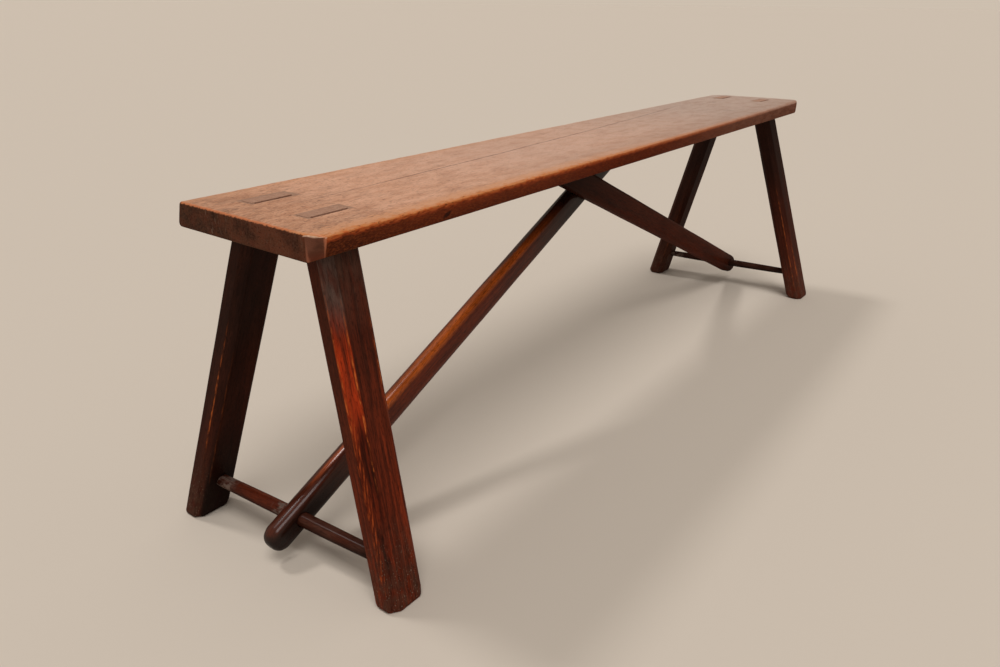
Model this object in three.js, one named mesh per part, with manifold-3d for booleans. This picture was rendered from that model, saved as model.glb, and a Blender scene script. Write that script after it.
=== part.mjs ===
// A long country bench: one thick board on four splayed legs, a round stretcher between the
// legs of each end, and two poles that rise from the stretchers, cross and meet the seat.
// Millimetres, +Z up. Left and right are the bench's ends (-X and +X), the front is -Y.

import * as THREE from 'three';
import { mergeVertices } from 'three/addons/utils/BufferGeometryUtils.js';
import Module from 'manifold-3d';

const wasm = await Module();
wasm.setup();

// Seat board
const seatLength = 1480;
const seatHeight = 460;
const seatThickness = 30;
const seatLeftWidth = 212; // across the underside, at the left end
const seatRightWidth = 202;
const frontLeanLeft = 24; // how far the front edge leans out on its way up
const frontLeanRight = 1;
const cornerTwist = 12; // length over which that lean starts at the left end
const backLeanLeft = 8; // how far the back edge leans out on its way down, none at the right
const seatCorner = 4; // rounding of the corners, seen from above
const seatArris = 2.5; // worn rounding of the long edges

// Legs: chamfered square stuff, cut level at the floor
const legWide = 59; // along the seat
const legThick = 38; // across the seat
const legChamfer = 9.5;
const legInset = 70; // from the seat's end to the leg's middle
const legSpread = 58; // from the seat's middle line to the leg's middle
const endSplay = 25; // how far a foot stands out along the seat
const sideSplay = 118; // how far a foot stands out across the seat

// Tenons through the seat, and the thin wedge that fills the front of each mortise
const tenonLong = 55;
const tenonThick = 18;
const tenonInset = 3; // towards the seat's middle line
const wedgeLong = 50;
const wedgeTop = 3.6;
const wedgeTip = 1.2;
const wedgeDeep = 24;

// Round stretchers, thickest in the middle: radius there and at the ends
const leftStretcherMiddle = 10.2;
const leftStretcherEnd = 8.6;
const rightStretcherMiddle = 8.4;
const rightStretcherEnd = 6.4;
const stretcherHeight = 54;
const stretcherTail = 24; // plain length in and beside the leg
const stretcherPast = 5; // how far the end runs past the leg's middle

// Braces: rounded poles in an upright plane
const leftBraceDeep = 38;
const leftBraceWide = 28;
const leftBraceNose = 49; // length beyond the stretcher
const leftBraceShoulder = 30; // where the nose starts to taper
const leftBraceTip = 9; // half of the nose's height at its end
const leftBraceReach = 87; // top end, past the seat's middle
const rightBraceDeep = 43;
const rightBraceWide = 30;
const rightBraceNose = 52;
const rightBraceShoulder = 16;
const rightBraceTip = 7;
const rightBraceReach = 172;
const braceRound = 9; // rounding of a pole's long edges
const noseRound = 6;
const braceOffset = 9; // each top end's distance from the seat's middle line

// Wrought nails, square in section
const nailShank = 2.6; // half of the diagonal under the head
const nailTip = 0.9;
const nailHead = 6;
const nailHeadHigh = 2.4;
const nailHeadRim = 0.8;
const topNailLength = 40;
const crossNailLength = 36;
const nailSetback = 30; // from the pole's feather edge to its first nail
const nailPitch = 22;

// Clearances and working allowances
const fit = 0.3; // gap between two pieces that touch
const overrun = 5; // how far a cut runs past the surface that it opens

// How each leg differs from the plain sizes above, as they do on a bench made by eye
const legShares = [
  { name: 'left_front', end: -1, side: -1, spread: 1.03, along: 0.5, across: 0.77, height: 0.89 },
  { name: 'left_back', end: -1, side: 1, spread: 1.0, along: 1.75, across: 1.18, height: 1.04 },
  { name: 'right_front', end: 1, side: -1, spread: 0.81, along: 1.1, across: 1.15, height: 1.07 },
  { name: 'right_back', end: 1, side: 1, spread: 1.19, along: -0.2, across: 0.92, height: 1.0 },
];
const leftBraceShare = 0.5; // where a brace sits on its stretcher, from the back leg
const rightBraceShare = 0.483;

const underside = seatHeight - seatThickness;
const roundSides = 20;
const squareSides = 4;
const bulgeSteps = 8;
const edgeSteps = 8;
const curveSteps = 3;

const waxedSeat = new THREE.MeshStandardMaterial({ color: 0xa5693f, roughness: 0.42, metalness: 0 });
const darkOak = new THREE.MeshStandardMaterial({ color: 0x3a1d12, roughness: 0.4, metalness: 0 });
const tenonOak = new THREE.MeshStandardMaterial({ color: 0x2a1710, roughness: 0.6, metalness: 0 });
const poleAsh = new THREE.MeshStandardMaterial({ color: 0x57301f, roughness: 0.38, metalness: 0 });
const stretcherAsh = new THREE.MeshStandardMaterial({ color: 0x36190f, roughness: 0.35, metalness: 0 });
const wroughtIron = new THREE.MeshStandardMaterial({ color: 0x2b2725, roughness: 0.6, metalness: 0.8 });

// Solids for joins and cuts

function toSolid(geometry) {
  const bare = geometry.clone();
  bare.deleteAttribute('normal');
  bare.deleteAttribute('uv');
  const merged = mergeVertices(bare);
  return new wasm.Manifold(new wasm.Mesh({
    numProp: 3,
    vertProperties: Float32Array.from(merged.attributes.position.array),
    triVerts: Uint32Array.from(merged.index.array),
  }));
}

function toGeometry(solid) {
  const mesh = solid.getMesh();
  const geometry = new THREE.BufferGeometry();
  geometry.setAttribute('position', new THREE.BufferAttribute(mesh.vertProperties, mesh.numProp));
  geometry.setIndex(new THREE.BufferAttribute(mesh.triVerts, 1));
  geometry.computeVertexNormals();
  return geometry;
}

function cut(solid, cutters) {
  return cutters.reduce((rest, cutter) => rest.subtract(cutter), solid);
}

// Outlines

// A closed outline whose corners are cut straight, or rounded, by the given size.
function corneredShape(points, size, rounded) {
  const shape = new THREE.Shape();
  points.forEach((corner, i) => {
    const before = points[(i + points.length - 1) % points.length];
    const after = points[(i + 1) % points.length];
    const enter = corner.clone().add(before.clone().sub(corner).setLength(size));
    const leave = corner.clone().add(after.clone().sub(corner).setLength(size));
    if (i === 0) {
      shape.moveTo(enter.x, enter.y);
    } else {
      shape.lineTo(enter.x, enter.y);
    }
    if (rounded) {
      shape.quadraticCurveTo(corner.x, corner.y, leave.x, leave.y);
    } else {
      shape.lineTo(leave.x, leave.y);
    }
  });
  shape.closePath();
  return shape;
}

function rectangle(wide, deep, middle = 0) {
  return [
    new THREE.Vector2(-wide / 2, middle - deep / 2),
    new THREE.Vector2(wide / 2, middle - deep / 2),
    new THREE.Vector2(wide / 2, middle + deep / 2),
    new THREE.Vector2(-wide / 2, middle + deep / 2),
  ];
}

// Legs: each is drawn upright round its own axis and then leaned

function leaned(geometry, leg) {
  const lean = new THREE.Matrix4().set(
    1, 0, (leg.top.x - leg.foot.x) / underside, leg.foot.x,
    0, 1, (leg.top.y - leg.foot.y) / underside, leg.foot.y,
    0, 0, 1, 0,
    0, 0, 0, 1,
  );
  return toSolid(geometry).transform(lean.elements);
}

const legs = legShares.map((leg) => {
  const top = new THREE.Vector2(leg.end * (seatLength / 2 - legInset), leg.side * legSpread * leg.spread);
  const foot = new THREE.Vector2(
    top.x + leg.end * endSplay * leg.along,
    top.y + leg.side * sideSplay * leg.across,
  );
  return { ...leg, top, foot };
});

// The point on a leg's axis at a height above the floor.
function onAxis(leg, height) {
  const point = leg.foot.clone().lerp(leg.top, height / underside);
  return new THREE.Vector3(point.x, point.y, height);
}

function legBlank(leg) {
  const shape = corneredShape(rectangle(legWide, legThick), legChamfer, false);
  return leaned(new THREE.ExtrudeGeometry(shape, { depth: underside - fit, bevelEnabled: false }), leg);
}

// A tenon, or with growth the mortise that it goes through.
function tenon(leg, growth, over) {
  const shape = new THREE.Shape(rectangle(
    tenonLong + 2 * growth,
    tenonThick + 2 * growth,
    -leg.side * tenonInset,
  ));
  const bottom = underside - overrun;
  const bar = new THREE.ExtrudeGeometry(shape, { depth: seatHeight + over - bottom, bevelEnabled: false });
  bar.translate(0, 0, bottom);
  return leaned(bar, leg);
}

// The wedge in front of a tenon, or with growth the room cut for it.
function wedge(leg, growth, over) {
  const back = -leg.side * tenonInset - tenonThick / 2 - fit + growth;
  const top = seatHeight + over;
  const bottom = seatHeight - wedgeDeep - growth;
  const flare = (wedgeTop - wedgeTip) / wedgeDeep;
  const section = new THREE.Shape([
    new THREE.Vector2(back, bottom),
    new THREE.Vector2(back, top),
    new THREE.Vector2(back - wedgeTop - flare * over - 2 * growth, top),
    new THREE.Vector2(back - wedgeTip + flare * growth - 2 * growth, bottom),
  ]);
  const long = wedgeLong + 2 * growth;
  const slip = new THREE.ExtrudeGeometry(section, { depth: long, bevelEnabled: false });
  slip.translate(0, 0, -long / 2);
  slip.applyMatrix4(new THREE.Matrix4().makeBasis(
    new THREE.Vector3(0, 1, 0),
    new THREE.Vector3(0, 0, 1),
    new THREE.Vector3(1, 0, 0),
  ));
  return leaned(slip, leg);
}

// Round members along a line

// Turns geometry made along +Y so that it runs from start towards end.
function along(geometry, start, end) {
  const turn = new THREE.Quaternion().setFromUnitVectors(
    new THREE.Vector3(0, 1, 0),
    end.clone().sub(start).normalize(),
  );
  geometry.applyQuaternion(turn);
  geometry.translate(start.x, start.y, start.z);
  return toSolid(geometry);
}

function rod(start, end, radius) {
  const length = start.distanceTo(end);
  const cylinder = new THREE.CylinderGeometry(radius, radius, length, roundSides);
  cylinder.translate(0, length / 2, 0);
  return along(cylinder, start, end);
}

function stretcherLine(end) {
  const [front, back] = [-1, 1].map((side) => {
    const leg = legs.find((one) => one.end === end && one.side === side);
    return onAxis(leg, stretcherHeight * leg.height);
  });
  const run = front.clone().sub(back).setLength(stretcherPast);
  const [thick, thin] = end < 0
    ? [leftStretcherMiddle, leftStretcherEnd]
    : [rightStretcherMiddle, rightStretcherEnd];
  return { back: back.clone().sub(run), front: front.clone().add(run), thick, thin };
}

function stretcher(line) {
  const length = line.back.distanceTo(line.front);
  const bulge = length - 2 * stretcherTail;
  const profile = [new THREE.Vector2(0, 0), new THREE.Vector2(line.thin, 0)];
  for (let i = 0; i <= bulgeSteps; i += 1) {
    const share = i / bulgeSteps;
    const radius = line.thin + (line.thick - line.thin) * Math.sin(Math.PI * share);
    profile.push(new THREE.Vector2(radius, stretcherTail + bulge * share));
  }
  profile.push(new THREE.Vector2(line.thin, length), new THREE.Vector2(0, length));
  return along(new THREE.LatheGeometry(profile, roundSides), line.back, line.front);
}

// The blind hole that takes one end of a stretcher, opened past the leg's face.
function stretcherHole(end, towards, radius) {
  const run = towards.clone().sub(end).setLength(fit);
  const mouth = end.clone().add(run.clone().setLength(legWide));
  return rod(end.clone().sub(run), mouth, radius + fit);
}

// Braces

const leftLine = stretcherLine(-1);
const rightLine = stretcherLine(1);

function braceData(line, share, reach, offset, sizes) {
  const foot = line.back.clone().lerp(line.front, share);
  const top = new THREE.Vector3(reach, offset, underside);
  const run = top.clone().sub(foot).normalize();
  const across = new THREE.Vector3(0, 0, 1).cross(run).normalize();
  const up = run.clone().cross(across);
  return { foot, top, run, across, up, ...sizes };
}

const leftBrace = braceData(leftLine, leftBraceShare, leftBraceReach, braceOffset, {
  deep: leftBraceDeep,
  wide: leftBraceWide,
  nose: leftBraceNose,
  noseShoulder: leftBraceShoulder,
  noseTip: leftBraceTip,
});
const rightBrace = braceData(rightLine, rightBraceShare, -rightBraceReach, -braceOffset, {
  deep: rightBraceDeep,
  wide: rightBraceWide,
  nose: rightBraceNose,
  noseShoulder: rightBraceShoulder,
  noseTip: rightBraceTip,
});

// A pole from its nose to past the seat's underside, grown on every side for the cut round it.
function pole(brace, growth) {
  const { run, across, up, foot, nose, noseShoulder, noseTip } = brace;
  const wide = brace.wide + 2 * growth;
  const deep = brace.deep + 2 * growth;
  const end = foot.distanceTo(brace.top) + brace.deep / run.z + overrun;
  const section = corneredShape(rectangle(wide, deep), braceRound, true);
  const bar = new THREE.ExtrudeGeometry(section, {
    depth: nose + end,
    curveSegments: curveSteps,
    bevelEnabled: false,
  });
  bar.translate(0, 0, -nose);
  bar.applyMatrix4(new THREE.Matrix4().makeBasis(across, up, run));
  const side = corneredShape([
    new THREE.Vector2(-nose, -noseTip),
    new THREE.Vector2(-noseShoulder, -deep / 2),
    new THREE.Vector2(end, -deep / 2),
    new THREE.Vector2(end, deep / 2),
    new THREE.Vector2(-noseShoulder, deep / 2),
    new THREE.Vector2(-nose, noseTip),
  ], noseRound, true);
  const profile = new THREE.ExtrudeGeometry(side, {
    depth: wide,
    curveSegments: curveSteps,
    bevelEnabled: false,
  });
  profile.translate(0, 0, -wide / 2);
  profile.applyMatrix4(new THREE.Matrix4().makeBasis(run, up, across.clone().negate()));
  bar.translate(foot.x, foot.y, foot.z);
  profile.translate(foot.x, foot.y, foot.z);
  return toSolid(bar).intersect(toSolid(profile));
}

// Everything above the seat's underside, to cut the poles' top ends level.
function aboveSeatLine() {
  const high = seatLength / 2;
  const block = new THREE.BoxGeometry(seatLength, seatLength, high);
  block.translate(0, 0, underside - fit + high / 2);
  return toSolid(block);
}

// Nails

function nail(point, direction, length, growth) {
  const start = point.clone().addScaledVector(direction, length + growth);
  const profile = [
    new THREE.Vector2(0, 0),
    new THREE.Vector2(nailTip + growth, 0),
    new THREE.Vector2(nailShank + growth, length),
    new THREE.Vector2(nailHead + growth, length + growth),
    new THREE.Vector2(nailHead + growth, length + growth + nailHeadRim),
    new THREE.Vector2(0, length + growth + nailHeadHigh),
  ];
  return along(new THREE.LatheGeometry(profile, squareSides), start, point);
}

// Where the n-th nail enters a pole's lower face near its top end, square to that face.
function topNailPoint(brace, n) {
  const slope = brace.run.z / Math.hypot(brace.run.x, brace.run.y);
  const pastTop = brace.deep / 2 / slope;
  return brace.top.clone()
    .addScaledVector(brace.run, pastTop - nailSetback - n * nailPitch)
    .addScaledVector(brace.up, -brace.deep / 2 - fit);
}

const nailsPerTop = 2;
const topNails = [leftBrace, rightBrace].map((brace) => Array.from(
  { length: nailsPerTop },
  (_, n) => ({ point: topNailPoint(brace, n), direction: brace.up }),
));

// The poles cross where their axes meet, seen from the front: the place on the left one's axis.
function crossing() {
  const gap = rightBrace.foot.clone().sub(leftBrace.foot);
  const turn = leftBrace.run.x * rightBrace.run.z - leftBrace.run.z * rightBrace.run.x;
  const reach = (gap.x * rightBrace.run.z - gap.z * rightBrace.run.x) / turn;
  return leftBrace.foot.clone().addScaledVector(leftBrace.run, reach);
}

// One nail from behind holds the left pole's halving to the back of the right pole.
const crossNail = {
  point: crossing().addScaledVector(leftBrace.across, leftBrace.wide / 2 + fit),
  direction: leftBrace.across.clone().negate(),
};

// Seat

function halfWidth(x) {
  const share = x / seatLength + 1 / 2;
  return (seatLeftWidth + (seatRightWidth - seatLeftWidth) * share) / 2;
}

// The front edge is undercut all along, but for a short twist at the left end, and fades out
// towards the right end.
function frontLean(x) {
  const share = x / seatLength + 1 / 2;
  const start = Math.min(1, (share * seatLength) / cornerTwist);
  return start * (frontLeanLeft + (frontLeanRight - frontLeanLeft) * share ** 3);
}

function backLean(x) {
  return backLeanLeft * (1 / 2 - x / seatLength);
}

// Points along the front edge, close together where its lean starts and even from there on.
function frontEdgePoints(end) {
  const points = [];
  const rest = seatLength - cornerTwist;
  for (let i = 0; i < edgeSteps; i += 1) {
    const x = cornerTwist - end + (rest * i) / edgeSteps;
    points.push(new THREE.Vector2(x, -halfWidth(x)));
  }
  return points;
}

function seatBoard() {
  const end = seatLength / 2;
  const outline = [
    new THREE.Vector2(-end, halfWidth(-end)),
    new THREE.Vector2(-end, -halfWidth(-end)),
    ...frontEdgePoints(end),
    new THREE.Vector2(end, -halfWidth(end)),
    new THREE.Vector2(end, halfWidth(end)),
  ];
  const board = new THREE.ExtrudeGeometry(corneredShape(outline, seatCorner, true), {
    depth: seatThickness - 2 * seatArris,
    curveSegments: curveSteps,
    bevelThickness: seatArris,
    bevelSize: seatArris,
    bevelOffset: -seatArris,
    bevelSegments: curveSteps,
  });
  board.translate(0, 0, underside + seatArris);
  const places = board.attributes.position;
  for (let i = 0; i < places.count; i += 1) {
    const [x, y] = [places.getX(i), places.getY(i)];
    const rise = (places.getZ(i) - underside) / seatThickness;
    places.setY(i, y < 0 ? y - frontLean(x) * rise : y + backLean(x) * (1 - rise));
  }
  return toSolid(board);
}

// The bench

const bench = new THREE.Group();

function addPiece(name, solid, material) {
  const piece = new THREE.Mesh(toGeometry(solid), material.clone());
  piece.name = name;
  bench.add(piece);
}

const mortises = legs.flatMap((leg) => [tenon(leg, fit, overrun), wedge(leg, fit, overrun)]);
const topNailRooms = topNails.map((pair) => pair.map((one) => nail(one.point, one.direction, topNailLength, fit)));
addPiece('seat_board', cut(seatBoard(), [...mortises, ...topNailRooms.flat()]), waxedSeat);

legs.forEach((leg) => {
  const line = leg.end < 0 ? leftLine : rightLine;
  const [near, far] = leg.side < 0 ? [line.front, line.back] : [line.back, line.front];
  const whole = legBlank(leg).add(tenon(leg, 0, 0));
  addPiece(`leg_${leg.name}`, cut(whole, [stretcherHole(near, far, line.thin)]), darkOak);
  addPiece(`tenon_wedge_${leg.name}`, wedge(leg, 0, 0), tenonOak);
});

addPiece('end_stretcher_left', stretcher(leftLine), stretcherAsh);
addPiece('end_stretcher_right', stretcher(rightLine), stretcherAsh);

const braceCuts = [aboveSeatLine(), nail(crossNail.point, crossNail.direction, crossNailLength, fit)];
addPiece('brace_left', cut(pole(leftBrace, 0), [
  ...braceCuts,
  ...topNailRooms[0],
  rod(leftLine.back, leftLine.front, leftLine.thick + fit),
  pole(rightBrace, fit),
]), poleAsh);
addPiece('brace_right', cut(pole(rightBrace, 0), [
  ...braceCuts,
  ...topNailRooms[1],
  rod(rightLine.back, rightLine.front, rightLine.thick + fit),
]), poleAsh);

['left', 'right'].forEach((name, i) => {
  topNails[i].forEach((one, n) => {
    addPiece(`brace_nail_${name}_${n + 1}`, nail(one.point, one.direction, topNailLength, 0), wroughtIron);
  });
});
addPiece('crossing_nail', nail(crossNail.point, crossNail.direction, crossNailLength, 0), wroughtIron);

// The origin is on the floor, under the middle of the whole outline.
const outline = new THREE.Box3().setFromObject(bench);
const middle = outline.getCenter(new THREE.Vector3());
bench.children.forEach((piece) => piece.position.set(-middle.x, -middle.y, 0));

export default bench;
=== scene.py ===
# A long country bench of dark waxed wood: a plank seat, four chamfered legs through it, a round
# stretcher between the legs of each end, and two crossed poles from the stretchers to the seat.

import math

import bmesh
import bpy
from mathutils import Matrix, Vector, noise


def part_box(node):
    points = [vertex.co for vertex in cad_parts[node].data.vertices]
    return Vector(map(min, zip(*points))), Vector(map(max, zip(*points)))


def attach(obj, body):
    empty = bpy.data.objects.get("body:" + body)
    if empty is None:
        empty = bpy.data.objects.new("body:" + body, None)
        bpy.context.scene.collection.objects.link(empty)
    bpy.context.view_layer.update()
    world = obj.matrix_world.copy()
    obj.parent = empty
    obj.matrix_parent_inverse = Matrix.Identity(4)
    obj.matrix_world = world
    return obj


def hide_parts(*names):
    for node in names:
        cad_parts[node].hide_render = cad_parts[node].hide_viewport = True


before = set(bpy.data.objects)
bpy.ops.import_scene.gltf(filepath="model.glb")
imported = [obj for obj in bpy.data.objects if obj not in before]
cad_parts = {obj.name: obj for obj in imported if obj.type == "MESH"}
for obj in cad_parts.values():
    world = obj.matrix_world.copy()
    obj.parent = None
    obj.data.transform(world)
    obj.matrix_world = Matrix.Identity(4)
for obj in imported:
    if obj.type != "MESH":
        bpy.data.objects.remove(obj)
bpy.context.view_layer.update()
mm = 0.001

# Camera
# It stands off the bench's left end, a little above the seat, and looks down along it with a
# moderately wide lens, as the photograph does.
picture_width = 1000
picture_focal_length = 781.2
camera_place = Vector((-1204.4, -699.3, 667)) * mm
heading = math.radians(53.07)
dip = math.radians(23.04)
tilt = math.radians(-0.58)

ahead = Vector((math.sin(heading) * math.cos(dip), math.cos(heading) * math.cos(dip), -math.sin(dip)))
level = Vector((math.cos(heading), -math.sin(heading), 0))
below = ahead.cross(level)
picture_right = level * math.cos(tilt) + below * math.sin(tilt)
picture_up = level * math.sin(tilt) - below * math.cos(tilt)
camera = bpy.data.objects.new("camera", bpy.data.cameras.new("camera"))
camera.data.sensor_width = 36
camera.data.lens = camera.data.sensor_width * picture_focal_length / picture_width
turned = Matrix((picture_right, picture_up, -ahead)).transposed().to_4x4()
camera.matrix_world = Matrix.Translation(camera_place) @ turned
bpy.context.scene.collection.objects.link(camera)
bpy.context.scene.camera = camera

# Seat board
# One elm plank, a little narrower towards the right end. Its front edge keeps the log's own slope,
# so it is undercut, and its arrises are worn round. Four mortises go through it for the legs.
seat_low, seat_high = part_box("seat_board")
seat_left = seat_low.x
seat_right = seat_high.x
seat_length = seat_right - seat_left
seat_under = seat_low.z
seat_top = seat_high.z
seat_thick = seat_top - seat_under
seat_middle = -7.3 * mm
seat_left_width = 212 * mm
seat_right_width = 202 * mm
front_lean = 23 * mm
least_lean = 1 * mm
back_lean = 8 * mm
corner_facet_at_top = 7 * mm
corner_facet_at_bottom = 23 * mm
corner_facet_depth = 25 * mm
end_round_left = 2.6 * mm
end_round_right = 5 * mm
end_worn_length = 60 * mm
seat_step = 4.5 * mm


def clamp(value, low=0.0, high=1.0):
    return max(low, min(high, value))


def ease(value, start, end):
    """0 before start, 1 after end, smooth between."""
    share = clamp((value - start) / (end - start))
    return share * share * (3 - 2 * share)


def rounded(corners, radii, side_points, close=3.5 * mm):
    """Points round an outline, with an arc at each corner and points close beside each arc."""
    arcs = []
    for i, (corner, radius) in enumerate(zip(corners, radii)):
        enter = corner + (corners[i - 1] - corner).normalized() * radius
        leave = corner + (corners[(i + 1) % len(corners)] - corner).normalized() * radius
        shares = [0, 0.25, 0.5, 0.75, 1]
        arcs.append([enter * (1 - s) ** 2 + corner * 2 * s * (1 - s) + leave * s * s for s in shares])
    points = []
    for i, arc in enumerate(arcs):
        start = arc[-1]
        run = arcs[(i + 1) % len(arcs)][0] - start
        inset = min(close, run.length / 4) / run.length
        count = side_points[i] - 1
        points += arc + [start + run * (inset + (1 - 2 * inset) * n / count) for n in range(count + 1)]
    return points


def drawn_out(outlines):
    """A closed skin: a circle takes the first outline, is extruded to each next one, and is capped."""
    mesh = bmesh.new()
    order = mesh.verts.layers.int.new("order")
    shares = (0.9, 0.7, 0.45, 0.2)
    first_middle = sum(outlines[0], Vector()) / len(outlines[0])
    last_middle = sum(outlines[-1], Vector()) / len(outlines[-1])
    rings = [[first_middle.lerp(point, share) for point in outlines[0]] for share in reversed(shares)]
    rings += outlines
    rings += [[last_middle.lerp(point, share) for point in outlines[-1]] for share in shares]
    first = bmesh.ops.create_circle(mesh, cap_ends=True, segments=len(rings[0]), radius=1)["verts"]
    for i, vert in enumerate(first):
        vert[order] = i
        vert.co = rings[0][i]
    edges = list(mesh.edges)
    for outline in rings[1:]:
        made = bmesh.ops.extrude_edge_only(mesh, edges=edges)["geom"]
        ring = {part for part in made if isinstance(part, bmesh.types.BMVert)}
        made_edges = [part for part in made if isinstance(part, bmesh.types.BMEdge)]
        edges = [edge for edge in made_edges if ring.issuperset(edge.verts)]
        for vert in ring:
            vert.co = outline[vert[order]]
    bmesh.ops.edgeloop_fill(mesh, edges=edges)
    bmesh.ops.recalc_face_normals(mesh, faces=mesh.faces)
    return mesh


def made_piece(name, mesh):
    """An object at the origin from a finished mesh."""
    data = bpy.data.meshes.new(name)
    mesh.to_mesh(data)
    mesh.free()
    made = bpy.data.objects.new(name, data)
    bpy.context.scene.collection.objects.link(made)
    return made


def cut_out(body, cutters):
    """Cuts each shape out of a piece and throws the shape away."""
    for cutter in cutters:
        work = body.modifiers.new("cut", "BOOLEAN")
        work.operation = "DIFFERENCE"
        work.solver = "EXACT"
        work.object = cutter
    bpy.context.view_layer.update()
    cut = bpy.data.meshes.new_from_object(body.evaluated_get(bpy.context.evaluated_depsgraph_get()))
    body.modifiers.clear()
    body.data = cut
    for cutter in cutters:
        bpy.data.objects.remove(cutter)


def mark_grain(body, place_at):
    """Stores on each point its place in the wood's own measure, which the finish then follows."""
    layer = body.data.attributes.new("grain", "FLOAT_VECTOR", "POINT")
    layer.data.foreach_set("vector", [part for vert in body.data.vertices for part in place_at(vert.co)])


def smooth(body, degrees):
    body.data.shade_smooth()
    body.data.set_sharp_from_angle(angle=math.radians(degrees))


def wobble(*place):
    """A smooth chance value between -1 and 1, the same in every run."""
    return noise.noise(Vector((place + (0, 0))[:3]))


def facet_depth(x, rise):
    """How far the broken front left corner lies behind the front edge's own slope."""
    width = corner_facet_at_bottom + (corner_facet_at_top - corner_facet_at_bottom) * rise
    return max(0, corner_facet_depth * rise - least_lean) * (1 - clamp((x - seat_left) / width))


def seat_outline(x, inset):
    """The seat's cross-section at a place along it, drawn in on every side for its rounded ends."""
    share = (x - seat_left) / seat_length
    half = (seat_left_width + (seat_right_width - seat_left_width) * share) / 2 - inset
    lean = front_lean * (1 - share ** 3) + least_lean
    front = seat_middle - half + 0.3 * mm * (1 + wobble(x * 9, 3))
    back = seat_middle + half - 0.3 * mm * (1 + wobble(x * 8, 6))
    corners = [
        Vector((front, seat_under + inset)),
        Vector((back + back_lean * (1 - share), seat_under + inset)),
        Vector((back, seat_top - inset)),
        Vector((front - lean + facet_depth(x, 1), seat_top - inset)),
    ]
    wear = 1 + 0.4 * wobble(x * 14, 5) + 0.25 * wobble(x * 60, 9)
    plain = ease(x, seat_left + 6 * mm, seat_left + 26 * mm)
    radii = [
        (2 + 3 * share) * mm, (6 - 4 * plain + 2 * share) * mm,
        (4.5 - plain + 3 * share) * mm * wear, (2.5 + (4.5 + 2.5 * share) * plain) * mm * wear,
    ]
    outline = []
    for y, z in rounded(corners, radii, (26, 6, 44, 14)):
        rise = (z - seat_under) / seat_thick
        if y < front:
            y += facet_depth(x, clamp(rise)) - rise * facet_depth(x, 1)
        worn = 0.35 * mm * (1 + wobble(x * 5, y * 22, 1)) * ease(z, seat_top - 4 * mm, seat_top)
        chip = ease(wobble(x * 70, y * 70, z * 70), 0.15, 0.6) * 0.7 * mm
        chip += ease(wobble(x * 190, y * 190, z * 190), 0.1, 0.6) * 0.35 * mm
        in_front = 1 - ease(y, front - lean + 4 * mm, front - lean + 16 * mm)
        chipped = ease(z, seat_top - 7 * mm, seat_top - 3 * mm) * in_front
        hewn = 0.35 * mm * wobble(x * 40, z * 120, 2) * (1 - ease(z, seat_top - 8 * mm, seat_top))
        outline.append(Vector((x, y + hewn * (y < front), z - worn - chip * chipped)))
    return outline


def worn_back(y):
    """How far the right end is worn back: a little in the middle and in front, most at the back corner."""
    middle = ease(y, -70 * mm, 30 * mm) * 12 * mm
    back_corner = ease(y, 55 * mm, 97 * mm) ** 1.5 * 32 * mm
    front_corner = (1 - ease(y, -117 * mm, -99 * mm)) * 9 * mm
    return middle + back_corner + front_corner


def seat_grain(spot):
    """A place in the seat's own measure: across it, up it, and along it as if its end weren't worn."""
    from_end = spot.x - seat_right
    worn = worn_back(spot.y)
    if from_end > -end_worn_length:
        from_end = (from_end + worn) / (1 - worn / end_worn_length)
    return Vector((spot.y - seat_middle, spot.z - seat_under, seat_length + from_end))


def seat_outlines():
    """Outlines close together at the rounded ends and the broken corner, and even between."""
    quarter = [math.radians(angle) for angle in (0, 25, 50, 70, 90)]
    arc = [(1 - math.cos(turn), 1 - math.sin(turn)) for turn in quarter]
    near = [seat_left + end_round_left + 1.4 * mm * i for i in range(1, 18)]
    count = round((seat_right - end_round_right - near[-1]) / seat_step)
    step = (seat_right - end_round_right - near[-1]) / count
    places = [(seat_left + end_round_left * out, end_round_left * down) for out, down in arc]
    places += [(x, 0) for x in near]
    places += [(near[-1] + step * i, 0) for i in range(1, count)]
    places += [(seat_right - end_round_right * out, end_round_right * down) for out, down in reversed(arc)]
    return [seat_outline(x, inset) for x, inset in places]


def middle_at(node, height):
    """The middle of a CAD node's outline at one of its level faces."""
    points = [vert.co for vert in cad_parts[node].data.vertices if abs(vert.co.z - height) < 0.1 * mm]
    low = Vector(min(point[i] for point in points) for i in range(3))
    high = Vector(max(point[i] for point in points) for i in range(3))
    return (low + high) / 2


joint_gap = 0.3 * mm
mortise_room = 0.5 * mm
overrun = 5 * mm
leg_names = ("left_front", "left_back", "right_front", "right_back")
leg_feet = {name: middle_at(f"leg_{name}", 0) for name in leg_names}
leg_tops = {name: middle_at(f"leg_{name}", seat_under - joint_gap) for name in leg_names}
leg_leans = {name: (leg_tops[name] - leg_feet[name]) / leg_tops[name].z for name in leg_names}
tenon_tops = {name: middle_at(f"leg_{name}", seat_top) for name in leg_names}
tenon_half_long = 27.5 * mm
tenon_half_thick = 9 * mm
tenon_gap = 0.1 * mm
tenon_hidden = 2 * mm
tenon_shrunk = 0.15 * mm
wedge_long = 51 * mm
wedge_deep = 23 * mm
wedge_thick_at_top = 4.4 * mm
wedge_thick_at_foot = 2 * mm


def tenon_bar(name, grow, low, high):
    """A bar that follows a leg's tenon, for the tenon itself and for its mortise."""
    outlines = []
    for height in (low, (low + high) / 2, high):
        middle = tenon_tops[name] + leg_leans[name] * (height - seat_top)
        half_long = tenon_half_long + grow
        half_thick = tenon_half_thick + grow
        signs = ((-1, -1), (1, -1), (1, 1), (-1, 1))
        corners = [Vector((middle.x + half_long * i, middle.y + half_thick * j)) for i, j in signs]
        outlines.append([Vector((x, y, height)) for x, y in rounded(corners, [1.2 * mm] * 4, (6, 3, 6, 3))])
    return drawn_out(outlines)


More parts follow.
